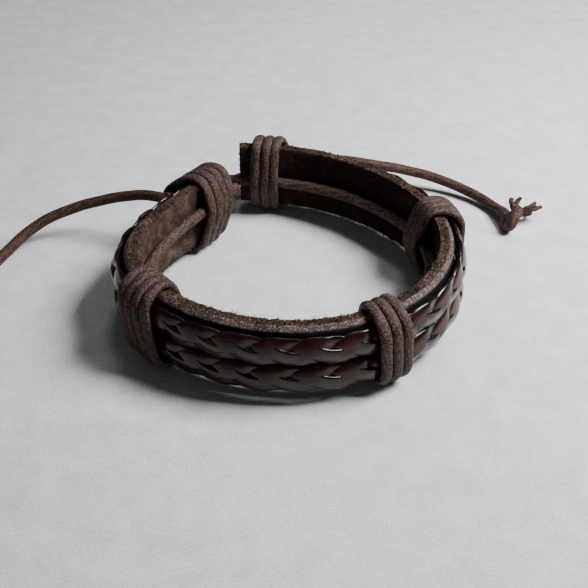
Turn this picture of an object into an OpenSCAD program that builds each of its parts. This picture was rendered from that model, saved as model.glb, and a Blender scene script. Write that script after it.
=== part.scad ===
// Adjustable braided leather bracelet, lying closed on a table.
// X runs across the front, Y from the front to the gap at the back, Z up. Millimetres.

/* [Strap] */
// Width of the leather strap, which stands on edge
strap_w = 12; // [11.5:0.1:12.5]
// Thickness of the leather strap
strap_t = 2.5; // [2:0.1:2.6]
// Length of the straight end of the right half, past its last bend
right_end = 5.5; // [5:0.1:6]
// Length of the straight end of the left half, past its last bend
left_end = 12; // [11.5:0.1:12.5]

/* [Braids] */
// Length over which one strand repeats its weave
weave_len = 17.4; // [16:0.1:19]
// Half of a strand's sideways swing
weave_swing = 1.7; // [1.6:0.05:1.8]
// Width of one strand
strand_w = 1.9; // [1.7:0.05:1.95]
// Thickness of one strand
strand_t = 0.82; // [0.7:0.01:0.85]
// Distance between the middles of the two braids
braid_pitch = 5.5; // [5.45:0.05:5.6]

/* [Cord] */
// Diameter of the waxed cotton drawcord
cord_d = 2; // [1.8:0.1:2]
// Diameter of the cord where it is pulled tight in a wrap
wrap_d = 1.6; // [1.4:0.1:1.6]
// Distance between neighbouring turns of a wrap
turn_pitch = 2.05; // [2:0.05:2.1]

/* [Knots] */
// Diameter of the knot on a tail
knot_d = 4.6; // [4.2:0.1:4.8]
// Length of the loose threads past a knot
fray_len = 4.5; // [4:0.1:5]

/* [Hidden] */

$fn = 64;

RIGHT = 1;   // the half that runs from the front anticlockwise, seen from above
LEFT = -1;   // the half that runs from the front clockwise

// The strap's middle line, half by half: [radius, turn in degrees] from the front to the gap.
right_bends = [[26, 64], [25, 57], [38, 51]];
left_bends = [[29.5, 57], [15.5, 50], [38, 18]];
// Middle of the front, placed so that the ring's box is centred on the origin.
front = [0.1, -30.1];

fit_gap = 0.1;                   // air between pieces that touch in the real thing
seam_gap = 0.35;                 // each half stops this far from the front's middle plane
body_gap = 0.15;                 // air between a cord's cut end and the next length of it
strap_z = wrap_d + 2 * fit_gap;  // the strap's lower edge, held up by the wraps under it
mid_z = strap_z + strap_w / 2;
strap_top = strap_z + strap_w;

weave_depth = 0.9 * strand_t;                                 // a strand's swing through the braid
braid_mid = strap_t / 2 + fit_gap / 2 + weave_depth + strand_t / 2;
braid_out = braid_mid + weave_depth + strand_t / 2;           // outermost face of the braids
braid_half = weave_swing + strand_w / 2;                      // half of one braid's width

upper_z = mid_z + braid_pitch / 2;                            // middle of each braid
lower_z = mid_z - braid_pitch / 2;

inner_line = -(strap_t / 2 + fit_gap + cord_d / 2);           // middle of a cord on the inner face
outer_line = braid_out + fit_gap + cord_d / 2;                // middle of a cord on the braids
cord_back = cord_d / 2 - fit_gap;                             // how far past that middle a wrap's
cord_flat = 0.2 * cord_d;                                     // corner lies, and how far to each side

// Heights of the cords: on each inner face at the front wrap and at the gap, then on the braids
// at the gap and where the tail comes free.
right_front_z = 8;
right_gap_z = 7;
left_front_z = 7;
left_gap_z = 9.6;
right_over_z = 3.4;
right_exit_z = 8;
left_over_z = 7;
left_exit_z = 10.7;

// Where each wrap sits: middle, as a length along its half from the front, and turns.
wrap_right_front_at = 15;
wrap_right_side_at = 48;
wrap_right_end_at = 87.5;
wrap_left_front_at = 25;
wrap_left_end_at = 62.6;
// Where each tail leaves the strap, just past its wrap.
right_exit_at = 84;
left_exit_at = 57.5;
run_step = 3.5;              // longest straight piece of a cord on the strap

// Free stretches of the cords: across the gap, and the two loose tails.
gap_right_route = [
    [-11.5, 17, 9.5], [-11.1, 19, 8.6], [-11.3, 21.2, 7], [-11.9, 24, 5.2], [-12.5, 26.4, 4],
    [-12.8, 28.6, 3.4], [-12.2, 30.6, 3.4], [-10.8, 31.7, 3.6]
];
gap_left_route = [
    [-12.4, 25, 7], [-14.2, 24.5, 7], [-15.8, 23.4, 7], [-17, 22, 7], [-17.8, 20.5, 7]
];
tail_right_route = [
    [0, 30.3, 8], [2.6, 30, 8.5], [5.4, 30.2, 8.6], [8.4, 30.8, 8.2], [11.4, 31.5, 7.6],
    [14.5, 32.3, 6.6], [17.6, 33.2, 5.6], [20.6, 33.8, 4.7], [23.6, 34, 3.9], [26.4, 33.7, 3.3],
    [29, 33, 2.8], [31.6, 31.9, 2.3], [34, 30.4, 1.9], [36.2, 28.7, 1.6], [38.2, 26.5, 1.4],
    [39.8, 24, 1.4], [40.7, 22, 1.7], [41.2, 20.2, 2.1]
];
tail_left_route = [
    [-23.6, 11.9, 10.7], [-24.9, 12.5, 10.6], [-26.7, 13.5, 10.3], [-28.9, 14.5, 9.8],
    [-31.5, 15.4, 9], [-34.2, 16, 8.2],
    [-37, 16.2, 7.4], [-39.8, 16, 6.7], [-42.6, 15.5, 5.9], [-45.2, 14.8, 5.1], [-47.4, 13.9, 4.3],
    [-49.4, 12.6, 3.4], [-51.2, 10.8, 2.6], [-52.8, 8.6, 1.8], [-54.2, 6, 1.3], [-55.3, 3, 1.1],
    [-56, 0, 1.1], [-56.3, -3, 1.3], [-56.2, -5.4, 1.9]
];
knot_right_place = [42, 17.8];
knot_left_place = [-55.9, -7.8];
fray_right_heading = 55;
fray_left_heading = -80;

leather = "#3a2622";
lace = "#4a1f1c";
waxed_cord = "#5b4741";

function bends_of(side) = side == RIGHT ? right_bends : left_bends;
function end_of(side) = side == RIGHT ? right_end : left_end;
function bend_len(bend) = bend[0] * bend[1] * PI / 180;
function bends_len(bends, i) = i == len(bends) ? 0 : bend_len(bends[i]) + bends_len(bends, i + 1);
function bent_len(side) = bends_len(bends_of(side), 0);
function half_len(side) = bent_len(side) + end_of(side);

// A pose is [x, y, heading]. This is the one at the end of an arc of that radius and turn.
function past_bend(pose, radius, turn, side) =
    let(h = pose[2], h2 = h + side * turn)
    [pose[0] + side * radius * (sin(h2) - sin(h)), pose[1] - side * radius * (cos(h2) - cos(h)), h2];

function pose_from(pose, s, bends, i, side) =
    i == len(bends) ? [pose[0] + s * cos(pose[2]), pose[1] + s * sin(pose[2]), pose[2]]
    : s <= bend_len(bends[i])
        ? past_bend(pose, bends[i][0], s / bend_len(bends[i]) * bends[i][1], side)
        : pose_from(past_bend(pose, bends[i][0], bends[i][1], side), s - bend_len(bends[i]),
                    bends, i + 1, side);

// Pose on the strap's middle line at length s from the front.
function pose_at(side, s) =
    pose_from([front[0], front[1], side == RIGHT ? 0 : 180], s, bends_of(side), 0, side);

function outward(side, h) = [side * sin(h), -side * cos(h), 0];

// Point at length s, a distance out from the strap's middle line, and a height.
function beside(side, s, out, z) =
    let(p = pose_at(side, s)) [p[0], p[1], z] + out * outward(side, p[2]);

function unit(v) = v / norm(v);

// A closed tube through rings of points, all rings alike.
module skin(rings, closed = false) {
    n = len(rings[0]);
    last = len(rings) - 1;
    walls = [for (i = [0 : closed ? last : last - 1], j = [0 : n - 1])
        let(i2 = (i + 1) % len(rings), j2 = (j + 1) % n)
        each [[i * n + j, i * n + j2, i2 * n + j2], [i * n + j, i2 * n + j2, i2 * n + j]]];
    caps = closed ? [] : [[for (j = [n - 1 : -1 : 0]) j], [for (j = [0 : n - 1]) last * n + j]];
    polyhedron(points = [for (r = rings) each r], faces = concat(walls, caps));
}

// Direction of a route at point i.
function along(route, i) = unit(route[min(i + 1, len(route) - 1)] - route[max(i - 1, 0)]);

module cord(route, d) {
    sides = 8;
    skin([for (i = [0 : len(route) - 1])
        let(t = along(route, i), u = unit(cross([0, 0, 1], t)), v = cross(t, u))
        [for (j = [0 : sides - 1]) let(a = -360 * (j + 0.5) / sides)
            route[i] + d / 2 * (cos(a) * u + sin(a) * v)]]);
}

// ---- Strap ----

module strap(side) {
    ring_step = 2;
    steps = ceil((half_len(side) - seam_gap) / ring_step);
    color(leather) skin([for (i = [0 : steps])
        let(s = seam_gap + (half_len(side) - seam_gap) * i / steps)
        [for (j = [0 : 3]) let(b = side * (90 * j + 45))
            beside(side, s, sign(cos(b)) * strap_t / 2, mid_z + sign(sin(b)) * strap_w / 2)]]);
}

// ---- Braids ----

// One of the three strands of a braid, from the front to just short of the strap's end.
module strand(side, z, phase) {
    sides = 8;
    ring_step = 1.6;
    first = seam_gap;
    last = half_len(side) - 0.6;
    steps = ceil((last - first) / ring_step);
    color(lace) skin([for (i = [0 : steps])
        let(s = first + (last - first) * i / steps, a = side * 360 * s / weave_len + phase,
            p = pose_at(side, s), n = outward(side, p[2]))
        [for (j = [0 : sides - 1]) let(b = side * 360 * (j + 0.5) / sides)
            [p[0], p[1], z + weave_swing * sin(a) + strand_w / 2 * sin(b)]
            + (braid_mid + weave_depth * sin(2 * a) + strand_t / 2 * cos(b)) * n]]);
}

// ---- Wraps ----

// Section that a wrap closes round, as corners [out, z] in order: strap, braids and the cords
// that run under it, each given as the heights of its middle, or [] for none.
function wrap_core(inner, outer) =
    let(in = inner_line - cord_back, out = outer_line + cord_back,
        edge = braid_out - strand_t, edge_in = 0.3, flat = 1)
    concat(
        [[-strap_t / 2, strap_top], [in, max(inner) + cord_flat], [in, min(inner) - cord_flat]],
        [[-strap_t / 2, strap_z], [strap_t / 2, strap_z]],
        [[edge, lower_z - braid_half + edge_in], [braid_out, lower_z - flat]],
        outer == [] ? [] : [[out, min(outer) - cord_flat], [out, max(outer) + cord_flat]],
        [[braid_out, upper_z + flat], [edge, upper_z + braid_half - edge_in]],
        [[strap_t / 2, strap_top]]);

// Twice the area of the corner's triangle, which is above 0 where the outline bulges out.
function bulge(corners, i) =
    let(n = len(corners), a = corners[(i + n - 1) % n], b = corners[i], c = corners[(i + 1) % n])
    (b[0] - a[0]) * (c[1] - b[1]) - (b[1] - a[1]) * (c[0] - b[0]);

// The corners that a tight cord touches, without those that it passes by.
function taut(corners) =
    let(slack = [for (i = [0 : len(corners) - 1]) if (bulge(corners, i) <= 0) i])
    len(slack) == 0 ? corners
    : taut([for (i = [0 : len(corners) - 1]) if (i != slack[0]) corners[i]]);

function edge_angle(corners, i) =
    let(a = corners[i], b = corners[(i + 1) % len(corners)]) atan2(b[1] - a[1], b[0] - a[0]);

// Stations round the core: [out, z, direction that faces away from the core].
function turn_line(corners, offset) = [for (i = [0 : len(corners) - 1])
    let(n = len(corners), before = edge_angle(corners, (i + n - 1) % n), after = edge_angle(corners, i),
        bend = (after - before + 720) % 360, steps = max(1, ceil(bend / 40)))
    each [for (k = [0 : steps])
        let(a = before + bend * k / steps - 90)
        [corners[i][0] + offset * cos(a), corners[i][1] + offset * sin(a), a]]];

// One turn of cord round the strap, shifted along it, upright and square to the wrap's middle.
module turn(side, at, shift, corners) {
    sides = 8;
    r = wrap_d / 2;
    p = pose_at(side, at);
    q = pose_at(side, at + shift);
    away = outward(side, p[2]);
    ahead = [cos(p[2]), sin(p[2]), 0];
    drift = [q[0] - p[0], q[1] - p[1], 0] * away;
    skin([for (c = turn_line(corners, r + 2 * fit_gap))
        [for (j = [0 : sides - 1]) let(b = -side * 360 * j / sides)
            [p[0], p[1], 0] + (c[0] + drift + r * cos(b) * cos(c[2])) * away
            + [0, 0, c[1] + r * cos(b) * sin(c[2])]
            + (shift + r * sin(b)) * ahead]], closed = true);
}

// A wrap of that many turns. One that is crossed also closes over a cord on the braids.
module wrap(side, at, turns, crossed = false) {
    ends = [at - turns * turn_pitch / 2, at + turns * turn_pitch / 2];
    corners = taut(wrap_core([for (s = ends) inner_z(side, s)],
                             crossed ? [for (s = ends) outer_z(side, s)] : []));
    color(waxed_cord) for (i = [0 : turns - 1])
        turn(side, at, (i - (turns - 1) / 2) * turn_pitch, corners);
}

// ---- Cords held by the strap ----

function between(s, s0, s1, z0, z1) = z0 + (z1 - z0) * (s - s0) / (s1 - s0);

// Height of the cord on the inner face, and of the one on the braids, at length s.
function inner_z(side, s) = side == RIGHT
    ? between(s, wrap_right_front_at, half_len(RIGHT), right_front_z, right_gap_z)
    : between(s, wrap_left_front_at, half_len(LEFT), left_front_z, left_gap_z);
function outer_z(side, s) = side == RIGHT
    ? between(s, half_len(RIGHT), right_exit_at, right_over_z, right_exit_z)
    : between(s, half_len(LEFT), left_exit_at, left_over_z, left_exit_z);

// Points of a cord along a half, from length s0 to s1, on the inner face or on the braids.
function inner_run(side, s0, s1) = let(steps = ceil(abs(s1 - s0) / run_step))
    [for (i = [0 : steps]) let(s = s0 + (s1 - s0) * i / steps)
        beside(side, s, inner_line, inner_z(side, s))];
function outer_run(side, s0, s1) = let(steps = ceil(abs(s1 - s0) / run_step))
    [for (i = [0 : steps]) let(s = s0 + (s1 - s0) * i / steps)
        beside(side, s, outer_line, outer_z(side, s))];

module inner_cord(side, first) color(waxed_cord) cord(inner_run(side, first, half_len(side)), cord_d);

// A cord from the inner face of one half, across the gap, and under the end wrap of the other.
module gap_cord(side, route, other, over, exit_at) {
    start = half_len(side) + body_gap;
    color(waxed_cord) cord(concat([beside(side, start, inner_line, inner_z(side, start))], route,
                                  outer_run(other, half_len(other) - over, exit_at)), cord_d);
}

// ---- Knots and loose threads ----

module knot(place)
    color(waxed_cord) translate([place[0], place[1], knot_d / 2]) sphere(d = knot_d);

module fray(place, heading) {
    threads = 6;
    thread_d = 0.7;
    color(waxed_cord) translate([place[0], place[1], knot_d / 2]) rotate([0, 0, heading])
        for (i = [0 : threads - 1]) rotate([360 * i / threads, 0, 0])
            translate([knot_d / 2 - 0.3, 0, 0.5]) rotate([0, 72, 0]) cylinder(d = thread_d, h = fray_len);
}

// ---- Sub-parts ----

module strap_right() { strap(RIGHT); }
module strap_left() { strap(LEFT); }
module upper_braid_right_1() { strand(RIGHT, upper_z, 0); }
module upper_braid_right_2() { strand(RIGHT, upper_z, 120); }
module upper_braid_right_3() { strand(RIGHT, upper_z, 240); }
module lower_braid_right_1() { strand(RIGHT, lower_z, 0); }
module lower_braid_right_2() { strand(RIGHT, lower_z, 120); }
module lower_braid_right_3() { strand(RIGHT, lower_z, 240); }
module upper_braid_left_1() { strand(LEFT, upper_z, 0); }
module upper_braid_left_2() { strand(LEFT, upper_z, 120); }
module upper_braid_left_3() { strand(LEFT, upper_z, 240); }
module lower_braid_left_1() { strand(LEFT, lower_z, 0); }
module lower_braid_left_2() { strand(LEFT, lower_z, 120); }
module lower_braid_left_3() { strand(LEFT, lower_z, 240); }
module wrap_right_front() { wrap(RIGHT, wrap_right_front_at, 3); }
module wrap_right_side() { wrap(RIGHT, wrap_right_side_at, 3); }
module wrap_right_end() { wrap(RIGHT, wrap_right_end_at, 3, crossed = true); }
module wrap_left_front() { wrap(LEFT, wrap_left_front_at, 4); }
module wrap_left_end() { wrap(LEFT, wrap_left_end_at, 4, crossed = true); }
module inner_cord_right() { inner_cord(RIGHT, wrap_right_front_at); }
module inner_cord_left() { inner_cord(LEFT, wrap_left_front_at); }
module gap_cord_right() { gap_cord(LEFT, gap_right_route, RIGHT, 1, right_exit_at); }
module gap_cord_left() { gap_cord(RIGHT, gap_left_route, LEFT, 0.6, left_exit_at); }
module tail_right() { color(waxed_cord) cord(tail_right_route, cord_d); }
module tail_left() { color(waxed_cord) cord(tail_left_route, cord_d); }
module knot_right() { knot(knot_right_place); }
module knot_left() { knot(knot_left_place); }
module fray_right() { fray(knot_right_place, fray_right_heading); }
module fray_left() { fray(knot_left_place, fray_left_heading); }

strap_right();
strap_left();
upper_braid_right_1();
upper_braid_right_2();
upper_braid_right_3();
lower_braid_right_1();
lower_braid_right_2();
lower_braid_right_3();
upper_braid_left_1();
upper_braid_left_2();
upper_braid_left_3();
lower_braid_left_1();
lower_braid_left_2();
lower_braid_left_3();
wrap_right_front();
wrap_right_side();
wrap_right_end();
wrap_left_front();
wrap_left_end();
inner_cord_right();
inner_cord_left();
gap_cord_right();
gap_cord_left();
tail_right();
tail_left();
knot_right();
knot_left();
fray_right();
fray_left();
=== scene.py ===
from math import ceil, cos, pi, radians, sin, tanh

import bpy
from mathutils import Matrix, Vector, noise


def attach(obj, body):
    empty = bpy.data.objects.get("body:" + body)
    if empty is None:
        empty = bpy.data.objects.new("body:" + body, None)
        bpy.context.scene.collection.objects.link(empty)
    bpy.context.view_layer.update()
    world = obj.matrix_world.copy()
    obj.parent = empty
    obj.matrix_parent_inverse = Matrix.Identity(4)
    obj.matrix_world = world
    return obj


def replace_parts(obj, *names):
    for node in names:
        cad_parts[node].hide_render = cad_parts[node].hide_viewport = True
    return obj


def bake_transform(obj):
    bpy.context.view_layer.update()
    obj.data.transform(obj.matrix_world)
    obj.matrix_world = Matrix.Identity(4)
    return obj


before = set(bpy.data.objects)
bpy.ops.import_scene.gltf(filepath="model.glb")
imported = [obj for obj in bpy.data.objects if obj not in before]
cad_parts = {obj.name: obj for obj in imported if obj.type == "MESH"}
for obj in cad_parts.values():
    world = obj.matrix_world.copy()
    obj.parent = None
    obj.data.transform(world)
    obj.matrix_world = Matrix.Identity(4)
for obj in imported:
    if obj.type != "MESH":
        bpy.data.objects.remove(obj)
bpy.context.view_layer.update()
MM = 0.001

# ---- Camera. Lengths are in millimetres until an object or a mesh is made ----

CAMERA_AT = Vector((0.1, -159.1, 113.1))
CAMERA_TARGET = Vector((0.1, -3, -0.3))


def facing(place, target):
    """Rotation of a camera or a lamp that stands at place and looks at target."""
    return (Vector(target) - Vector(place)).to_track_quat("-Z", "Y").to_euler()


camera = bpy.data.objects.new("camera", bpy.data.cameras.new("camera"))
bpy.context.scene.collection.objects.link(camera)
camera.data.lens, camera.data.sensor_width = 66.06, 36
camera.data.clip_start, camera.data.clip_end = 0.005, 10
camera.location = CAMERA_AT * MM
camera.rotation_euler = facing(camera.location, CAMERA_TARGET * MM)
bpy.context.scene.camera = camera

# ---- The strap's own line ----

STRAP_W, STRAP_T, STRAP_Z = 12, 2.5, 1.8
MID_Z, STRAP_TOP = STRAP_Z + STRAP_W / 2, STRAP_Z + STRAP_W

# From the front, each half bends in arcs of (radius, degrees) and then runs straight to its end.
FRONT = (0.1, -30.1)
RIGHT_BENDS, RIGHT_STRAIGHT = [(26, 64), (25, 57), (38, 51)], 5.5
LEFT_BENDS, LEFT_STRAIGHT = [(29.5, 57), (15.5, 50), (38, 18)], 12

# How far out from the strap's middle the inner and outer cords lie, and the braids reach
INNER_LINE, OUTER_LINE, BRAID_OUT = -2.35, 4.7, 3.6
UPPER_Z, LOWER_Z = 10.55, 5.05

# Middles of the wraps, as lengths along each half from the front
RIGHT_FRONT_AT, RIGHT_SIDE_AT, RIGHT_END_AT = 14.8, 48, 87.5
LEFT_FRONT_AT, LEFT_END_AT = 25, 62.4


def arc_length(bend):
    return bend[0] * radians(bend[1])


HALF_RIGHT = sum(map(arc_length, RIGHT_BENDS)) + RIGHT_STRAIGHT
HALF_LEFT = sum(map(arc_length, LEFT_BENDS)) + LEFT_STRAIGHT

# The braids and the cords on the strap's faces keep this far from its ends.
END_MARGIN = 0.6


def clamp(value):
    return max(0, min(1, value))


def pose(u):
    """Middle of the strap at u, which grows anticlockwise from the front: point, way along, way out."""
    side = 1 if u >= 0 else -1
    rest = abs(u)
    x, y = FRONT
    heading = 0 if side > 0 else pi
    for radius, turn in RIGHT_BENDS if side > 0 else LEFT_BENDS:
        length = radius * radians(turn)
        turned = heading + side * min(1, rest / length) * radians(turn)
        x += side * radius * (sin(turned) - sin(heading))
        y -= side * radius * (cos(turned) - cos(heading))
        heading = turned
        if rest <= length:
            rest = 0
            break
        rest -= length
    x += rest * cos(heading)
    y += rest * sin(heading)
    along = side * Vector((cos(heading), sin(heading), 0))
    away = side * Vector((sin(heading), -cos(heading), 0))
    return Vector((x, y, 0)), along, away


def beside(u, out, z):
    """Point at u along the strap, this far out from its middle and this high."""
    p, _, away = pose(u)
    return p + out * away + Vector((0, 0, z))


def smooth(points, step=0.25):
    """An even line of points on a smooth curve through these."""
    p = [Vector(q) for q in points]
    p = [2 * p[0] - p[1]] + p + [2 * p[-1] - p[-2]]
    dense = []
    span = 16
    for a, b, c, d in zip(p, p[1:], p[2:], p[3:]):
        for k in range(span):
            t = k / span
            dense.append(0.5 * (2 * b + (c - a) * t + (2 * a - 5 * b + 4 * c - d) * t * t
                                + (3 * b - a - 3 * c + d) * t ** 3))
    dense.append(p[-2])
    return even(dense, step)


def even(line, step):
    """The same line as points that are about a step apart."""
    run = [0]
    for a, b in zip(line, line[1:]):
        run.append(run[-1] + (b - a).length)
    n = max(2, ceil(run[-1] / step))
    out, j = [], 0
    for i in range(n + 1):
        want = run[-1] * i / n
        while j < len(run) - 2 and run[j + 1] < want:
            j += 1
        gap = run[j + 1] - run[j] or 1
        out.append(line[j].lerp(line[j + 1], min(1, (want - run[j]) / gap)))
    return out


# ---- Node trees ----


class Tree:
    """A node tree with one short call for each node. Inputs are given in their order, or as in_Name."""

    def __init__(self, tree):
        self.tree, self.nodes, self.links = tree, tree.nodes, tree.links

    def node(self, kind, *inputs, out=0, **settings):
        n = self.nodes.new(kind)
        named = {k: settings.pop(k) for k in list(settings) if k.startswith("in_")}
        for k, v in settings.items():
            setattr(n, k, v)
        for i, v in list(enumerate(inputs)) + [(k[3:].replace("_", " "), v) for k, v in named.items()]:
            if v is None:
                continue
            socket = n.inputs[i]
            if isinstance(v, bpy.types.NodeSocket):
                self.links.new(v, socket)
            else:
                socket.default_value = v
        return n if out is None else n.outputs[out]

    def math(self, what, *inputs, clamp=False):
        return self.node("ShaderNodeMath", *inputs, operation=what, use_clamp=clamp)

    def vector(self, what, *inputs):
        return self.node("ShaderNodeVectorMath", *inputs, operation=what)


def geometry_tree(name, **inputs):
    """A Geometry Nodes tree with these named inputs, as (tree, builder, {name: socket})."""
    tree = bpy.data.node_groups.new(name, "GeometryNodeTree")
    tree.interface.new_socket("Geometry", in_out="OUTPUT", socket_type="NodeSocketGeometry")
    tree.interface.new_socket("Geometry", in_out="INPUT", socket_type="NodeSocketGeometry")
    kinds = {float: "NodeSocketFloat", int: "NodeSocketInt", str: "NodeSocketMaterial"}
    for key, value in inputs.items():
        socket = tree.interface.new_socket(key, in_out="INPUT", socket_type=kinds[type(value)])
        if not isinstance(value, str):
            socket.default_value = value
    g = Tree(tree)
    start = g.nodes.new("NodeGroupInput")
    return tree, g, {s.name: s for s in start.outputs}


def run_tree(piece, tree, **values):
    """Gives the piece the mesh that the tree makes of it."""
    modifier = piece.modifiers.new("make", "NODES")
    modifier.node_group = tree
    for item in tree.interface.items_tree:
        if item.in_out == "INPUT" and item.name in values:
            modifier[item.identifier] = values[item.name]
    shown = piece.evaluated_get(bpy.context.evaluated_depsgraph_get())
    mesh = bpy.data.meshes.new_from_object(shown)
    piece.modifiers.clear()
    old, piece.data = piece.data, mesh
    bpy.data.meshes.remove(old)
    mesh.name = piece.name
    return piece


def sweep_tree():
    """Sweeps a flat or round section along each line, with grooves between wound plies. The "lay"
    attribute is the place on the same cord pulled straight: length along it, then the two ways across."""
    tree, g, inp = geometry_tree("swept_cord", Width=0.002, Thickness=0.002, Squareness=1.0, Sides=16,
                                 Plies=0.0, Lay_Length=0.006, Ply_Depth=0.0, Finish="")
    mean_wave = 0.7
    line = g.node("GeometryNodeMeshToCurve", inp["Geometry"])
    normal = g.node("GeometryNodeInputNamedAttribute", "out_way", data_type="FLOAT_VECTOR")
    line = g.node("GeometryNodeSetCurveNormal", line, None, normal, mode="FREE")
    fat = g.node("GeometryNodeInputNamedAttribute", "fat", data_type="FLOAT")
    spline = g.node("GeometryNodeSplineParameter", out=None)
    line_kept = g.node("GeometryNodeCaptureAttribute", line, out=None)
    line_kept.capture_items.new("FLOAT", "along")
    g.links.new(spline.outputs["Length"], line_kept.inputs[1])
    ring = g.node("GeometryNodeCurvePrimitiveCircle", inp["Sides"])
    here = g.node("GeometryNodeSplineParameter", out=None)
    angle = g.math("MULTIPLY", here.outputs["Factor"], 2 * pi)
    across = []
    for turn, size in (("COSINE", inp["Thickness"]), ("SINE", inp["Width"])):
        raw = g.math(turn, angle)
        even_out = g.math("POWER", g.math("ABSOLUTE", raw), inp["Squareness"])
        across.append(g.math("MULTIPLY", g.math("MULTIPLY", g.math("SIGN", raw), even_out),
                             g.math("MULTIPLY", size, 0.5)))
    place = g.node("ShaderNodeCombineXYZ", across[0], across[1], 0.0)
    ring = g.node("GeometryNodeSetPosition", ring, None, place)
    ring_kept = g.node("GeometryNodeCaptureAttribute", ring, out=None)
    ring_kept.capture_items.new("VECTOR", "across")
    g.links.new(place, ring_kept.inputs[1])
    body = g.node("GeometryNodeCurveToMesh", line_kept.outputs[0], ring_kept.outputs[0], fat, True)
    split = g.node("ShaderNodeSeparateXYZ", ring_kept.outputs[1], out=None)
    lay = g.node("ShaderNodeCombineXYZ", line_kept.outputs[1], split.outputs[0], split.outputs[1])
    body = g.node("GeometryNodeStoreNamedAttribute", body, None, "lay", lay, data_type="FLOAT_VECTOR",
                  domain="POINT")
    around = g.math("ARCTAN2", split.outputs[1], split.outputs[0])
    wound = g.math("MULTIPLY", g.math("DIVIDE", line_kept.outputs[1], inp["Lay_Length"]), 2 * pi)
    wave = g.math("ABSOLUTE", g.math("SINE", g.math("MULTIPLY", g.math(
        "SUBTRACT", g.math("MULTIPLY", around, inp["Plies"]), wound), 0.5)))
    lift = g.math("MULTIPLY", g.math("SUBTRACT", wave, mean_wave), inp["Ply_Depth"])
    normal = g.node("GeometryNodeInputNormal")
    body = g.node("GeometryNodeSetPosition", body, None, None, g.vector("SCALE", normal, None, None, lift))
    body = g.node("GeometryNodeSetShadeSmooth", body)
    body = g.node("GeometryNodeRealizeInstances", body)
    body = g.node("GeometryNodeSetMaterial", body, None, inp["Finish"])
    g.node("NodeGroupOutput", body, out=None)
    return tree


SWEEP = sweep_tree()


def signed_volume(mesh):
    """Six times the volume inside the mesh, below zero where its faces point inwards."""
    total = 0
    mesh.calc_loop_triangles()
    for t in mesh.loop_triangles:
        a, b, c = (mesh.vertices[i].co for i in t.vertices)
        total += a.dot(b.cross(c))
    return total


def new_object(name, verts, edges=(), faces=()):
    mesh = bpy.data.meshes.new(name)
    mesh.from_pydata([tuple(v * MM) for v in verts], edges, faces)
    piece = bpy.data.objects.new(name, mesh)
    bpy.context.scene.collection.objects.link(piece)
    return piece


def sweep(name, lines, width, thickness, finish, sides=16, square=1.0, plies=0, lay=6.0, depth=0.0,
          ways=None, fat=None):
    """One piece swept along one or more lines of points. ways holds the section's outward direction."""
    verts, edges, out, size = [], [], [], []
    for n, line in enumerate(lines):
        first = len(verts)
        verts += line
        edges += [(first + i, first + i + 1) for i in range(len(line) - 1)]
        out += ways[n] if ways else carried_ways(line)
        size += fat[n] if fat else [1.0] * len(line)
    piece = new_object(name, verts, edges)
    piece.data.attributes.new("out_way", "FLOAT_VECTOR", "POINT").data.foreach_set(
        "vector", [c for w in out for c in w])
    piece.data.attributes.new("fat", "FLOAT", "POINT").data.foreach_set("value", size)
    run_tree(piece, SWEEP, Width=width * MM, Thickness=thickness * MM, Squareness=square, Sides=sides,
             Plies=float(plies), Lay_Length=lay * MM, Ply_Depth=depth * MM, Finish=finish)
    if signed_volume(piece.data) < 0:
        piece.data.flip_normals()
    return piece


def carried_ways(line):
    """Directions square to a line that turn as little as they can."""
    tangent = (line[1] - line[0]).normalized()
    way = Vector((0, 0, 1)) if abs(tangent.z) < 0.9 else Vector((1, 0, 0))
    ways = []
    for i in range(len(line)):
        tangent = (line[min(i + 1, len(line) - 1)] - line[max(i - 1, 0)]).normalized()
        way = (way - tangent * way.dot(tangent)).normalized()
        ways.append(way)
    return ways


# ---- Finishes ----


def material(name, rough, **shader):
    """A new material, as (material, builder, shader node)."""
    m = bpy.data.materials.new(name)
    m.use_nodes = True
    g = Tree(m.node_tree)
    g.nodes.clear()
    skin = g.node("ShaderNodeBsdfPrincipled", out=None)
    skin.inputs["Roughness"].default_value = rough
    for key, value in shader.items():
        skin.inputs[key.replace("_", " ")].default_value = value
    g.node("ShaderNodeOutputMaterial", skin.outputs[0], out=None)
    return m, g, skin


def speck(g, where, scale, detail=3, rough=0.6, stretch=None):
    """Noise from 0 to 1 at this place, drawn out where stretch is below 1."""
    if stretch:
        where = g.vector("MULTIPLY", where, stretch)
    return g.node("ShaderNodeTexNoise", where, in_Scale=scale, in_Detail=detail, in_Roughness=rough)


def ramp(g, value, *stops):
    """Colours, or greys given as one number, at these stops of the value."""
    n = g.node("ShaderNodeValToRGB", value, out=None)
    n.color_ramp.elements.remove(n.color_ramp.elements[1])
    for i, (at, colour) in enumerate(stops):
        e = n.color_ramp.elements[0] if i == 0 else n.color_ramp.elements.new(at)
        e.position, e.color = at, (*colour, 1) if isinstance(colour, tuple) else (colour,) * 3 + (1,)
    return n.outputs[0]


def mix(g, share, a, b):
    n = g.node("ShaderNodeMix", out=None, data_type="RGBA")
    for socket, value in ((n.inputs[0], share), (n.inputs[6], a), (n.inputs[7], b)):
        if isinstance(value, bpy.types.NodeSocket):
            g.links.new(value, socket)
        else:
            socket.default_value = (*value, 1) if isinstance(value, tuple) else value
    return n.outputs[2]


def bump(g, skin, height, strength, distance):
    g.links.new(g.node("ShaderNodeBump", in_Strength=strength, in_Distance=distance, in_Height=height),
                skin.inputs["Normal"])


def object_place(g):
    return g.node("ShaderNodeTexCoord", out=3)


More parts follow.
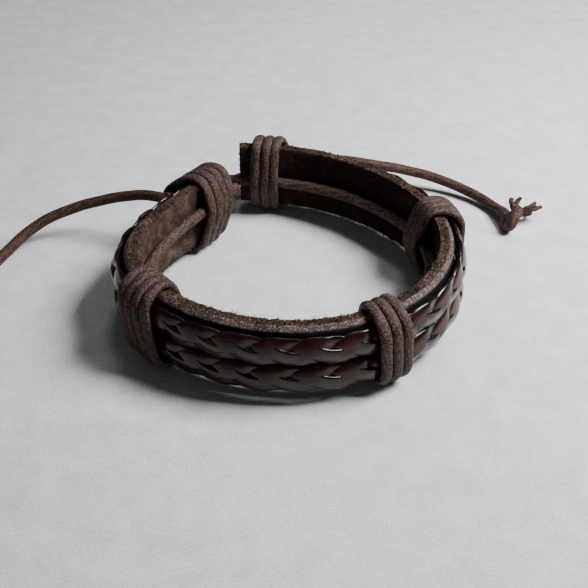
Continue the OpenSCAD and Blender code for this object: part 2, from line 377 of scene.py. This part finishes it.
def cord_finish(name, dark, mid, pale):
    """Waxed cotton: fine grains of wax over faint wound yarns, and paler worn patches."""
    yarn_count, yarn_lay = 6.0, 0.0036
    m, g, skin = material(name, 0.65, Specular_IOR_Level=0.2)
    lay = g.node("ShaderNodeAttribute", attribute_name="lay", out="Vector")
    parts = g.node("ShaderNodeSeparateXYZ", lay, out=None)
    around = g.math("ARCTAN2", parts.outputs[2], parts.outputs[1])
    along = g.math("MULTIPLY", parts.outputs[0], 2 * pi / yarn_lay)
    yarns = g.math("SINE", g.math("ADD", g.math("MULTIPLY", around, yarn_count), along))
    grain = speck(g, lay, 3600, 3, 0.75)
    patch = speck(g, lay, 520, 3, 0.6)
    height = g.math("ADD", g.math("MULTIPLY", yarns, 0.07), grain)
    tone = g.math("ADD", g.math("MULTIPLY", height, 0.68), g.math("MULTIPLY", patch, 0.34))
    base = ramp(g, tone, (0.38, dark), (0.52, mid), (0.66, pale))
    grains = ramp(g, speck(g, lay, 4400, 1, 0.5), (0.55, 0.0), (0.64, 1.0))
    base = mix(g, g.math("MULTIPLY", grains, 0.55), base, tuple(min(1, c * 2.6) for c in pale))
    g.links.new(base, skin.inputs["Base Color"])
    g.links.new(ramp(g, grain, (0.35, 0.75), (0.7, 0.48)), skin.inputs["Roughness"])
    bump(g, skin, height, 0.8, 0.00014)
    return m


def lace_finish():
    """Glossy lace: reddish crowns, painted near-black shade at its edges and in the creases, and long
    shallow scratches.
    """
    m, g, skin = material("braid_lace", 0.3, Specular_IOR_Level=0.28, Coat_Weight=0.12, Coat_Roughness=0.1)
    lay = g.node("ShaderNodeAttribute", attribute_name="lay", out="Vector")
    parts = g.node("ShaderNodeSeparateXYZ", lay, out=None)
    # 0 along the lace's middle and about 1 at its edges
    edge = g.math("MULTIPLY", g.math("ABSOLUTE", parts.outputs[2]), 640.0)
    patch = speck(g, lay, 330, 4, 0.6)
    pores = speck(g, lay, 5200, 2, 0.6)
    scratch = speck(g, lay, 1400, 3, 0.6, (0.16, 1, 1))
    # The tone falls towards the lace's edges as painted shade in the creases where the laces tuck under each
    # other.
    tone = g.math("SUBTRACT", g.math("ADD", patch, g.math("MULTIPLY", scratch, 0.35)),
                  g.math("MULTIPLY", g.math("POWER", edge, 3.0), 0.35))
    base = ramp(g, tone, (0.25, (0.004, 0.0018, 0.0016)), (0.5, (0.013, 0.0038, 0.003)),
                (0.72, (0.03, 0.0085, 0.006)), (0.9, (0.055, 0.017, 0.011)))
    g.links.new(base, skin.inputs["Base Color"])
    g.links.new(ramp(g, g.math("ADD", g.math("MULTIPLY", scratch, 0.6), g.math("MULTIPLY", patch, 0.4)),
                     (0.3, 0.17), (0.7, 0.3)), skin.inputs["Roughness"])
    bump(g, skin, g.math("ADD", g.math("MULTIPLY", pores, 0.35), scratch), 0.35, 0.0001)
    return m


def outer_finish():
    """The strap's grain side: grey-brown with fine pale grains, and painted black shade behind the braids.
    """
    m, g, skin = material("strap_outer", 0.6, Specular_IOR_Level=0.3)
    where = object_place(g)
    patch = speck(g, where, 260, 4, 0.6)
    fine = speck(g, where, 4600, 3, 0.75)
    tone = g.math("ADD", g.math("MULTIPLY", patch, 0.35), g.math("MULTIPLY", fine, 0.65))
    base = ramp(g, tone, (0.38, (0.008, 0.005, 0.0045)), (0.5, (0.035, 0.022, 0.019)),
                (0.6, (0.11, 0.076, 0.066)))
    grains = ramp(g, speck(g, where, 4000, 1, 0.5), (0.56, 0.0), (0.65, 0.6))
    base = mix(g, grains, base, (0.36, 0.25, 0.21))
    height = g.node("ShaderNodeSeparateXYZ", where, out=None).outputs[2]
    # Painted shade behind the braids: the face is black up to 12.94 mm and has its full colour a third of a
    # millimetre higher.
    painted_shade_fade = g.math("MULTIPLY_ADD", height, 3200.0, -41.4, clamp=True)
    base = mix(g, painted_shade_fade, (0.003, 0.002, 0.002), base)
    g.links.new(base, skin.inputs["Base Color"])
    bump(g, skin, fine, 0.6, 0.00012)
    return m


def suede_finish():
    """The strap's inner side: nap in painted near-black shade on the right half, and in painted light,
    greyer and flecked with gold, on the left.
    """
    m, g, skin = material("strap_suede", 0.95, Specular_IOR_Level=0.1)
    where = object_place(g)
    nap = speck(g, where, 4200, 3, 0.75)
    patch = speck(g, where, 420, 4, 0.65)
    tone = g.math("ADD", g.math("MULTIPLY", patch, 0.45), g.math("MULTIPLY", nap, 0.55))
    # The same nap twice: dark as painted shade, and pale as painted light
    dark = ramp(g, tone, (0.38, (0.006, 0.0028, 0.0022)), (0.52, (0.016, 0.0075, 0.006)),
                (0.66, (0.05, 0.025, 0.019)))
    pale = ramp(g, tone, (0.38, (0.014, 0.008, 0.006)), (0.5, (0.045, 0.028, 0.022)),
                (0.6, (0.1, 0.068, 0.05)), (0.7, (0.22, 0.15, 0.09)))
    side = g.node("ShaderNodeSeparateXYZ", where, out=None).outputs[0]
    # Dark painted shade from 2 mm right of the middle, and wholly pale painted light from 20 mm left of it
    left = g.math("MULTIPLY_ADD", side, -45.0, 0.1, clamp=True)
    base = mix(g, left, dark, pale)
    g.links.new(base, skin.inputs["Base Color"])
    bump(g, skin, g.math("ADD", nap, g.math("MULTIPLY", patch, 0.5)), 0.7, 0.0002)
    return m


def raw_finish(name, gold):
    """Cut leather: golden, brown and near-black grains of fibre."""
    m, g, skin = material(name, 0.85, Specular_IOR_Level=0.25)
    where = object_place(g)
    grains = speck(g, where, 3400, 3, 0.8)
    flecks = speck(g, where, 2200, 2, 0.7)
    patch = speck(g, where, 150, 2, 0.5)
    tone = g.math("ADD", grains, g.math("MULTIPLY", g.math("SUBTRACT", patch, 0.5), 0.35))
    base = ramp(g, tone, (0.4, (0.007, 0.004, 0.003)), (0.52, (0.04, 0.021, 0.015)),
                (0.61, (0.12, 0.068 * gold, 0.04)), (0.72, (0.36, 0.23 * gold, 0.14)))
    base = mix(g, ramp(g, flecks, (0.5, 0.0), (0.64, 0.8)), base, (0.03, 0.016, 0.013))
    g.links.new(base, skin.inputs["Base Color"])
    bump(g, skin, grains, 0.9, 0.0003)
    return m


CORD = cord_finish(
    "waxed_cord", (0.008, 0.004, 0.0032), (0.027, 0.0145, 0.0115), (0.085, 0.051, 0.041))
TAIL_CORD = cord_finish(
    "waxed_tail_cord", (0.009, 0.004, 0.0026), (0.027, 0.012, 0.008), (0.065, 0.032, 0.022))
LACE = lace_finish()
OUTER = outer_finish()
SUEDE = suede_finish()
RAW = raw_finish("strap_raw_edge", 1.0)
FIBRE = raw_finish("strap_fibres", 1.05)

# ---- Cords ----

CORD_D, CORD_LAY = 2.0, 6.5

# Where each half's inner cord starts, under the front wrap, and where the other cord leaves its
# outer face, under the end wrap, as lengths from the front
RIGHT_START, RIGHT_EXIT = 15, 84
LEFT_START, LEFT_EXIT = 25, 57.5

# Their heights at the inner cord's start, at the gap on each face, and where they leave
RIGHT_START_Z, RIGHT_GAP_Z, RIGHT_OVER_Z, RIGHT_EXIT_Z = 8, 7, 3.4, 8
LEFT_START_Z, LEFT_GAP_Z, LEFT_OVER_Z, LEFT_EXIT_Z = 7, 9.6, 7, 10.7

# Points that the cords follow across the gap and from the end wraps to the knots
GAP_RIGHT = [(-11.5, 17, 9.5), (-11.1, 19, 8.6), (-11.3, 21.2, 7), (-11.9, 24, 5.2), (-12.5, 26.4, 4),
             (-12.8, 28.6, 3.4), (-12.2, 30.6, 3.4), (-10.8, 31.7, 3.6)]
GAP_LEFT = [(-12.4, 25, 7), (-14.2, 24.5, 7), (-15.8, 23.4, 7), (-17, 22, 7), (-17.8, 20.5, 7)]
TAIL_RIGHT = [
    (0, 30.3, 8), (2.6, 30, 8.5), (5.4, 30.2, 8.6), (8.4, 30.8, 8.2), (11.4, 31.5, 7.6),
    (14.5, 32.3, 6.6), (17.6, 33.2, 5.6), (20.6, 33.8, 4.7), (23.6, 34, 3.9), (26.4, 33.7, 3.3),
    (29, 33, 2.8), (31.6, 31.9, 2.3), (34, 30.4, 1.9), (36.2, 28.7, 1.6), (38.2, 26.5, 1.4),
    (39.8, 24, 1.4), (40.7, 22, 1.7), (41.2, 20.2, 2.1)]
TAIL_LEFT = [
    (-23.6, 11.9, 10.7), (-24.9, 12.5, 10.6), (-26.7, 13.5, 10.3), (-28.9, 14.5, 9.8),
    (-31.5, 15.4, 9), (-34.2, 16, 8.2), (-37, 16.2, 7.4), (-39.8, 16, 6.7), (-42.6, 15.5, 5.9),
    (-45.2, 14.8, 5.1), (-47.4, 13.9, 4.3), (-49.4, 12.6, 3.4), (-51.2, 10.8, 2.6), (-52.8, 8.6, 1.8),
    (-54.2, 6, 1.3), (-55.3, 3, 1.1), (-56, 0, 1.1), (-56.3, -3, 1.3), (-56.2, -5.4, 1.9)]
KNOT_RIGHT, KNOT_LEFT = (42, 17.8, 2.3), (-55.9, -7.8, 2.3)
FRAY_RIGHT, FRAY_LEFT = radians(55), radians(-80)


def cord_piece(name, line, finish):
    return sweep(name, [line], CORD_D, CORD_D, finish, sides=20, plies=3, lay=CORD_LAY, depth=0.04)


def above_floor(line, clearance):
    """The same line, lifted where its middle is nearer to the floor than this."""
    return [p + Vector((0, 0, max(0, clearance - p.z))) for p in line]


def knot_line(place, tail, heading):
    """An overhand knot: in from the tail, over and through itself, and out along the heading."""
    half_steps, reach = 9, 1.85
    across_size, along_size, middle = 0.72, 0.62, 2.1
    place, out = Vector(place), Vector((cos(heading), sin(heading), 0))
    into = (place - Vector(tail[-1])).normalized()
    axis = (into + out).normalized()
    up = Vector((0, 0, 1))
    across = axis.cross(up).normalized()
    up = across.cross(axis)
    loop = []
    for i in range(-half_steps, half_steps + 1):
        t = i / half_steps * reach
        x, y, z = t ** 3 - 3 * t, t ** 4 - 4 * t * t, t ** 5 / 5 - 2 * t
        loop.append(place + across * (y + middle) * across_size + up * x * across_size
                    + axis * z * along_size)
    return loop


def knot(name, place, tail, heading, body, finish):
    """The knot, in a cord a little fatter than the tail's, with a short end past it."""
    fat_d = CORD_D + 0.15
    place = Vector(place)
    loop = knot_line(place, tail, heading)
    out = Vector((cos(heading), sin(heading), 0))
    line = smooth([Vector(tail[-2]), Vector(tail[-1])] + loop + [place + out * 2.6, place + out * 3.4], 0.2)
    line = above_floor(line, 1.1)
    piece = sweep(name + "_tied", [line], fat_d, fat_d, finish, sides=20, plies=3, lay=CORD_LAY, depth=0.05)
    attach(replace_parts(piece, name), body)
    return piece


def fray(name, place, heading, body, finish):
    """The cord's plies opened out past the knot, each bent its own way."""
    place, out = Vector(place), Vector((cos(heading), sin(heading), 0))
    across = Vector((-out.y, out.x, 0))
    lines, sizes = [], []
    # How far each ply leans sideways, how far it rises, and its length
    plies = [(1.1, 0.3, 3.4), (-1.2, 0.4, 3.6), (0.4, 0.9, 3.3), (-0.4, -0.35, 3.8), (0.8, -0.5, 3.0),
             (-0.8, 0.9, 2.8)]
    for i, (side, rise, length) in enumerate(plies):
        base = place + out * 2.9 + (across * side + Vector((0, 0, rise))) * 0.3
        tip = out * length + across * side * 2.3 + Vector((0, 0, rise * 1.5))
        curl = across * (-1) ** i * 0.5 + Vector((0, 0, 0.35 * (-1) ** (i // 2)))
        bends = [base - out * 0.8, base, base + tip * 0.4 + curl, base + tip * 0.75 + curl * 1.2, base + tip]
        line = above_floor(smooth(bends, 0.2), 0.6)
        lines.append(line)
        sizes.append([1 - 0.35 * (k / (len(line) - 1)) ** 2 for k in range(len(line))])
    piece = sweep(name + "_strands", lines, 1.2, 1.1, finish, sides=10, plies=2, lay=1.8, depth=0.12,
                  fat=sizes)
    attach(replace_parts(piece, name), body)
    return piece


def between(s, s0, s1, z0, z1):
    """Height at s on the straight slope from z0 at s0 to z1 at s1."""
    return z0 + (z1 - z0) * (s - s0) / (s1 - s0)


def tail(name, route, side_body, end_body, knot_place, heading):
    """One loose tail with its knot and its fray."""
    line = smooth(route)
    piece = cord_piece(name + "_cord", line, TAIL_CORD)
    end_knot = knot(name.replace("tail", "knot"), knot_place, route, heading, end_body, TAIL_CORD)
    threads = fray(name.replace("tail", "fray"), knot_place, heading, end_body, TAIL_CORD)
    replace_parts(piece, name)
    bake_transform(piece)


tail("tail_right", TAIL_RIGHT, "right_side", "right_tail_end", KNOT_RIGHT, FRAY_RIGHT)
tail("tail_left", TAIL_LEFT, "left_side", "left_tail_end", KNOT_LEFT, FRAY_LEFT)


def inner_z(side, s):
    """Height of the cord on a half's inner face, at this length from the front."""
    if side > 0:
        return between(s, RIGHT_START, HALF_RIGHT, RIGHT_START_Z, RIGHT_GAP_Z)
    return between(s, LEFT_START, HALF_LEFT, LEFT_START_Z, LEFT_GAP_Z)


def outer_z(side, s):
    """Height of the cord that lies over a half's braids near its end."""
    if side > 0:
        return between(s, HALF_RIGHT, RIGHT_EXIT, RIGHT_OVER_Z, RIGHT_EXIT_Z)
    return between(s, HALF_LEFT, LEFT_EXIT, LEFT_OVER_Z, LEFT_EXIT_Z)


def held_line(side, s0, s1, out, height):
    """Points about 2 mm apart on a cord that a half holds from s0 to s1."""
    n = ceil(abs(s1 - s0) / 2)
    lengths = [s0 + (s1 - s0) * i / n for i in range(n + 1)]
    return [beside(side * s, out, height(side, s)) for s in lengths]


for side, start, half, body, name in ((1, RIGHT_START, HALF_RIGHT, "right_side", "inner_cord_right"),
                                      (-1, LEFT_START, HALF_LEFT, "left_side", "inner_cord_left")):
    piece = cord_piece(name + "_run", smooth(held_line(side, start, half, INNER_LINE, inner_z)), CORD)
    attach(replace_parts(piece, name), body)

# Each gap cord leaves one half's inner face and comes down on the outer face of the other.
right_line = smooth([beside(-HALF_LEFT + END_MARGIN, INNER_LINE, LEFT_GAP_Z)]
                    + [Vector(p) for p in GAP_RIGHT]
                    + held_line(1, HALF_RIGHT - 1, RIGHT_EXIT, OUTER_LINE, outer_z))
left_line = smooth([beside(HALF_RIGHT - END_MARGIN, INNER_LINE, RIGHT_GAP_Z)]
                   + [Vector(p) for p in GAP_LEFT]
                   + held_line(-1, HALF_LEFT - END_MARGIN, LEFT_EXIT, OUTER_LINE, outer_z))
for name, line, a, b, from_u, from_z, to_u, to_z in (
        ("gap_cord_right", right_line, "left_side", "right_side",
         -HALF_LEFT, LEFT_GAP_Z, HALF_RIGHT, RIGHT_OVER_Z),
        ("gap_cord_left", left_line, "right_side", "left_side",
         HALF_RIGHT, RIGHT_GAP_Z, -HALF_LEFT, LEFT_OVER_Z)):
    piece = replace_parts(cord_piece(name + "_run", line, CORD), name)
    beside(from_u, INNER_LINE, from_z) * MM
    beside(to_u, OUTER_LINE, to_z) * MM
    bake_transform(piece)

# ---- Wraps ----

# A turn's cord is pressed flat, one pitch from the next, and strays by about SWAY.
WRAP_W, WRAP_T, PITCH, SWAY = 1.95, 1.35, 1.8, 0.12
STEPS_PER_TURN = 60

# Radius that the wraps leave for a cord or a lace that they hold down
PRESSED_R = 0.9


def cross_z(a, b, c):
    """Above zero where the way from a over b to c turns left."""
    return (b[0] - a[0]) * (c[1] - b[1]) - (b[1] - a[1]) * (c[0] - b[0])


def hull(points):
    """Convex outline, anticlockwise."""
    points = sorted(points)

    def half(ps):
        out = []
        for p in ps:
            while len(out) > 1 and cross_z(out[-2], out[-1], p) <= 0:
                out.pop()
            out.append(p)
        return out[:-1]

    return half(points) + half(points[::-1])


def disc(x, z, r):
    """Points round a circle, as (x, z)."""
    n = 16
    return [(x + r * cos(2 * pi * k / n), z + r * sin(2 * pi * k / n)) for k in range(n)]


def wrap_outline(side, s, crossed, grow):
    """Closed line that a turn's middle follows, as (out, 0, z) points 0.4 mm apart. It goes tightly
    round the strap, its braids and its cords, with its corners smoothed."""
    half_t, braid_x, braid_half, reach = STRAP_T / 2, BRAID_OUT - 1.1, 1.2, 4
    core = []
    for x, z in ((-half_t, STRAP_TOP), (half_t, STRAP_TOP), (-half_t, STRAP_Z), (half_t, STRAP_Z)):
        core += disc(x, z, grow)
    core += disc(INNER_LINE, inner_z(side, s), PRESSED_R + grow)
    for z in (UPPER_Z, LOWER_Z):
        core += disc(braid_x, z + braid_half, PRESSED_R + grow)
        core += disc(braid_x, z - braid_half, PRESSED_R + grow)
    if crossed:
        core += disc(OUTER_LINE, outer_z(side, s), PRESSED_R + grow)
    ring = [Vector((x, 0, z)) for x, z in hull(core)]
    ring = even(ring + ring[:1], 0.4)[:-1]
    n, near = len(ring), range(-reach, reach + 1)
    return [sum((ring[(i + k) % n] for k in near), Vector()) / len(near) for i in range(n)]


def wrap(name, side, at, turns, body, crossed=False, lean=0.0):
    """One cord wound round the strap, with both ends tucked in under the strap's foot."""
    gap, tuck_rate, tuck_rise, lowest = 0.22, 8, 0.9, 0.75
    line, ways, fats = [], [], []
    seed = sum(map(ord, name))
    for i in range(turns * STEPS_PER_TURN + 1):
        f = i / STEPS_PER_TURN
        s = at + (f - turns / 2) * PITCH
        ring = wrap_outline(side, s, crossed, WRAP_T / 2 + gap)
        foot = min(range(len(ring)), key=lambda k: ring[k].z + 0.05 * abs(ring[k].x))
        pos = (foot + (f % 1) * len(ring)) % len(ring)
        a, b = ring[int(pos) % len(ring)], ring[(int(pos) + 1) % len(ring)]
        q = a.lerp(b, pos % 1)
        wobble = noise.noise(Vector((f * 2.1, seed * 0.37, 1))) * SWAY
        proud = (noise.noise(Vector((f * 1.7, seed * 0.53, 7))) + 0.5) * SWAY
        tuck = min(1, f * tuck_rate, (turns - f) * tuck_rate)
        s_here = s - lean * (q.z - MID_Z) / STRAP_W + wobble * 2
        x = q.x + proud * max(-1, min(1, q.x))
        line.append(beside(side * s_here, x, max(lowest, q.z) + (1 - tuck) * tuck_rise))
        before, after = ring[int(pos - 1) % len(ring)], ring[int(pos + 2) % len(ring)]
        along = (after - before).normalized()
        _, _, away = pose(side * s_here)
        ways.append(away * along.z - Vector((0, 0, along.x)))
        fats.append(1 + 0.06 * noise.noise(Vector((f * 9, seed, 3))))
    piece = sweep(name + "_turns", [line], WRAP_W, WRAP_T, CORD, sides=18, square=0.95, plies=3,
                  lay=CORD_LAY, depth=0.04, ways=[ways], fat=[fats])
    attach(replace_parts(piece, name), body)


wrap("wrap_right_front", 1, RIGHT_FRONT_AT, 3, "right_side", lean=1.2)
wrap("wrap_right_side", 1, RIGHT_SIDE_AT, 3, "right_side", lean=0.4)
wrap("wrap_right_end", 1, RIGHT_END_AT, 3, "right_side", crossed=True, lean=-0.5)
wrap("wrap_left_front", -1, LEFT_FRONT_AT, 4, "left_side", lean=-1.8)
wrap("wrap_left_end", -1, LEFT_END_AT, 4, "left_side", crossed=True, lean=-2.2)

# ---- Strap ----

STRAP_STEP = 0.3

# The strap's sides, as places in its list of materials
SUEDE_SIDE, RAW_SIDE, OUTER_SIDE = 0, 1, 2


def strap_section():
    """Outline across the strap, from the inner foot round, as (out, z, side)."""
    half_t, r, bevel_x, bevel_z = STRAP_T / 2, 0.3, 0.45, 0.75
    # Each corner with the side that starts there and the number of steps along it
    corners = [(-half_t, STRAP_Z, SUEDE_SIDE, 14), (-half_t, STRAP_TOP, RAW_SIDE, 7),
               (bevel_x, STRAP_TOP, OUTER_SIDE, 4), (half_t, STRAP_TOP - bevel_z, OUTER_SIDE, 12),
               (half_t, STRAP_Z + bevel_z, OUTER_SIDE, 4), (bevel_x, STRAP_Z, RAW_SIDE, 7)]
    out = []
    for i, (x, z, kind, count) in enumerate(corners):
        x2, z2, _, _ = corners[(i + 1) % len(corners)]
        for k in range(count):
            t = k / count
            px, pz = x + (x2 - x) * t, z + (z2 - z) * t
            px = max(-half_t, min(half_t, px))
            dx, dz = half_t - abs(px), min(pz - STRAP_Z, STRAP_TOP - pz)
            if dx < r and dz < r:
                px -= (r - dx) * 0.29 * (1 if px > 0 else -1) * (1 - dz / r)
                pz += (r - dz) * 0.29 * (1 if pz < MID_Z else -1) * (1 - dx / r)
            out.append((px, pz, kind))
    return out


# The strap and its braids are made in three parts, and the front part's ends lie under the two front wraps.
PARTS = [("front", -LEFT_FRONT_AT, RIGHT_FRONT_AT), ("right", RIGHT_FRONT_AT, HALF_RIGHT),
         ("left", -HALF_LEFT, -LEFT_FRONT_AT)]
BEND_FROM, BEND_TO = 10, -19.5


def follow(piece, part):
    """The front part's place is baked into its mesh, and the others each ride on one."""
    if part == "front":
        beside(BEND_FROM, 0, MID_Z) * MM
        beside(BEND_TO, 0, MID_Z) * MM
        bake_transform(piece)
    else:
        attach(piece, part + "_side")


def halves(part, right, left):
    """The CAD nodes that this part stands for."""
    return {"front": (right, left), "right": (right,), "left": (left,)}[part]


def strap(part, first, last):
    """One part of the strap, with ragged edges. Its top leans out a little near the right end."""
    section = strap_section()
    n = len(section)
    steps = round((last - first) / STRAP_STEP)
    verts, faces, kinds = [], [], []
    for i in range(steps + 1):
        u = first + (last - first) * i / steps
        back = clamp((u - 42) / 20) * clamp((HALF_RIGHT - u) / 6)
        for x, z, side in section:
            p = beside(u, x, z)
            rag = noise.noise(p * 1.1) * 0.18 + noise.noise(p * 2.9) * 0.17
            wave = noise.noise(Vector((u * 0.12, 3, 1))) * 0.12
            ragged_z, ragged_x = (1, 0.1) if side == RAW_SIDE else (0.15, 0.25)
            lift = (rag * ragged_z + wave) * (1 if z > MID_Z else -0.4)
            flare = back * 0.5 * (z - MID_Z) / STRAP_W
            verts.append(beside(u, x + flare + rag * ragged_x, z + lift))
    for i in range(steps):
        for k in range(n):
            k2 = (k + 1) % n
            faces.append((i * n + k, i * n + k2, (i + 1) * n + k2, (i + 1) * n + k))
            kinds.append(section[k][2])
    faces += [tuple(range(n))[::-1], tuple(steps * n + k for k in range(n))]
    kinds += [RAW_SIDE, RAW_SIDE]
    piece = new_object("strap_" + part + "_part", verts, (), faces)
    for m in (SUEDE, RAW, OUTER):
        piece.data.materials.append(m)
    piece.data.polygons.foreach_set("material_index", kinds)
    piece.data.polygons.foreach_set("use_smooth", [True] * len(faces))
    piece.data.update()
    if signed_volume(piece.data) < 0:
        piece.data.flip_normals()
    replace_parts(piece, *halves(part, "strap_right", "strap_left"))
    return piece


def fuzz_tree():
    """Short bent fibres that stand at random on the raw edges."""
    tree, g, inp = geometry_tree("raw_edge_fibres", Density=6e6, Length=0.0005, Thickness=0.00006,
                                 Seed=4, Finish="")
    raw = g.node("FunctionNodeCompare", None, None, g.node("GeometryNodeInputMaterialIndex"), RAW_SIDE,
                 data_type="INT", operation="EQUAL")
    scatter = g.node("GeometryNodeDistributePointsOnFaces", inp["Geometry"], raw, out=None,
                     in_Density=inp["Density"], in_Seed=inp["Seed"])
    fibre = g.node("GeometryNodeMeshCone", in_Vertices=3, in_Side_Segments=3, in_Radius_Top=0.1,
                   in_Radius_Bottom=1.0, in_Depth=1.0)
    place = g.node("GeometryNodeInputPosition")
    height = g.node("ShaderNodeSeparateXYZ", place, out=None).outputs[2]
    bend = g.math("MULTIPLY", g.math("POWER", g.math("MAXIMUM", height, 0.0), 2.0), 0.55)
    flat = g.vector("MULTIPLY", place, (0.12, 0.12, 1))
    fibre = g.node("GeometryNodeSetPosition", fibre, None, g.vector(
        "ADD", flat, g.node("ShaderNodeCombineXYZ", bend, 0.0, 0.0)))
    lean = g.node("FunctionNodeRandomValue", (-1, -1, -1), (1, 1, 1), data_type="FLOAT_VECTOR",
                  in_Seed=inp["Seed"])
    way = g.vector("ADD", g.vector("SCALE", scatter.outputs["Normal"], None, None, 1.1), lean)
    turn = g.node("FunctionNodeAlignRotationToVector", None, None, way, axis="Z")
    size = g.node("FunctionNodeRandomValue", None, None, 0.25, 1.0, data_type="FLOAT", out=1)
    long = g.math("MULTIPLY", g.math("POWER", size, 2.2), inp["Length"])
    wide = g.math("MULTIPLY", inp["Thickness"], 8.0)
    scale = g.node("ShaderNodeCombineXYZ", wide, wide, long)
    grown = g.node("GeometryNodeInstanceOnPoints", scatter.outputs[0], None, fibre, None, None, turn, scale)
    grown = g.node("GeometryNodeRealizeInstances", grown)
    grown = g.node("GeometryNodeSetMaterial", grown, None, inp["Finish"])
    g.node("NodeGroupOutput", grown, out=None)
    return tree


FUZZ = fuzz_tree()
for part, first, last in PARTS:
    leather = strap(part, first, last)
    fibres = bpy.data.objects.new(f"strap_{part}_fibres", leather.data.copy())
    bpy.context.scene.collection.objects.link(fibres)
    run_tree(fibres, FUZZ, Density=9e6, Length=0.0006, Thickness=0.00013, Seed=4, Finish=FIBRE)
    follow(fibres, part)
    follow(leather, part)

# ---- Braids ----

LACE_W, LACE_T, LACE_STEP = 3.2, 1.05, 0.28

# A lace's path repeats over WEAVE_LEN. Its middle swings by SWING up and down, and by WEAVE_DEPTH
# in and out, about WEAVE_OUT from the strap's middle.
WEAVE_LEN, SWING, WEAVE_OUT, WEAVE_DEPTH = 17.4, 1.12, 2.42, 0.28


def strand(row, number, zc, phase, part, first, last):
    """One part of a lace, which goes over from the braid's middle to an edge and back under."""
    # How flat the path runs along the edges, how fast it changes between over and under, and how
    # much longer it stays over
    flat, crisp, hold = 1.25, 2.2, 0.9
    line, ways, fats = [], [], []
    first, last = max(first, -HALF_LEFT + END_MARGIN), min(last, HALF_RIGHT - END_MARGIN)
    n = round((last - first) / LACE_STEP)
    for i in range(n + 1):
        u = first + (last - first) * i / n
        a = 2 * pi * u / WEAVE_LEN + phase
        loose = noise.noise(Vector((u * 0.09, phase, zc))) * 0.12
        out = WEAVE_OUT + WEAVE_DEPTH * tanh(crisp * sin(2 * a) + hold) + loose
        line.append(beside(u, out, zc + (SWING + loose) * tanh(flat * sin(a)) / tanh(flat)))
        _, _, away = pose(u)
        tilt = 0.2 * sin(a) + 0.3 * cos(a)
        ways.append((away + Vector((0, 0, tilt))).normalized())
        fats.append(1 + 0.1 * sin(2 * a) + 0.04 * noise.noise(Vector((u * 0.5, phase, zc))))
    name = f"{row}_braid_{part}_lace_{number}"
    piece = sweep(name, [line], LACE_W, LACE_T, LACE, sides=28, square=0.84, ways=[ways], fat=[fats])
    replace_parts(piece, *halves(part, f"{row}_braid_right_{number}", f"{row}_braid_left_{number}"))
    follow(piece, part)


# The braids' middles hang a little lower than the lines that the wraps are shaped to.
for row, zc in (("upper", UPPER_Z - 0.35), ("lower", LOWER_Z - 0.1)):
    for number in (1, 2, 3):
        for part in PARTS:
            strand(row, number, zc, 2 * pi * (number - 1) / 3, *part)

# ---- Floor and light ----


def floor_finish():
    """Matt pale grey with a fine grain."""
    m, g, skin = material("floor_grey", 0.75, Specular_IOR_Level=0.2)
    where = object_place(g)
    mottle = speck(g, where, 190, 4, 0.7)
    fine = speck(g, where, 2600, 3, 0.75)
    tone = g.math("ADD", g.math("MULTIPLY", mottle, 0.35), g.math("MULTIPLY", fine, 0.65))
    base = ramp(g, tone, (0.38, (0.42, 0.432, 0.428)), (0.62, (0.66, 0.668, 0.668)))
    g.links.new(base, skin.inputs["Base Color"])
    return m


FLOOR_HALF = 900
floor_corners = [Vector((x, y, 0)) * FLOOR_HALF for x, y in ((-1, -1), (1, -1), (1, 1), (-1, 1))]
floor = new_object("floor", floor_corners, (), [(0, 1, 2, 3)])
floor.data.materials.append(floor_finish())


def lamp(name, power, size, spread, place, target):
    """A square lamp, with its power in watts, its spread in degrees and its places in metres."""
    light = bpy.data.lights.new(name, "AREA")
    light.energy, light.size, light.spread = power, size, radians(spread)
    piece = bpy.data.objects.new(name, light)
    piece.location = place
    piece.rotation_euler = facing(place, target)
    bpy.context.scene.collection.objects.link(piece)


lamp("window", 1.15, 0.15, 100, (0.22, 0.006, 0.27), (0.08, 0.03, 0))
lamp("back", 0.42, 0.14, 180, (0.02, 0.24, 0.55), (0, 0, 0))

world = bpy.data.worlds.new("room")
bpy.context.scene.world = world
world.use_nodes = True
world.node_tree.nodes["Background"].inputs[0].default_value = (1, 1, 1, 1)
world.node_tree.nodes["Background"].inputs[1].default_value = 0.085
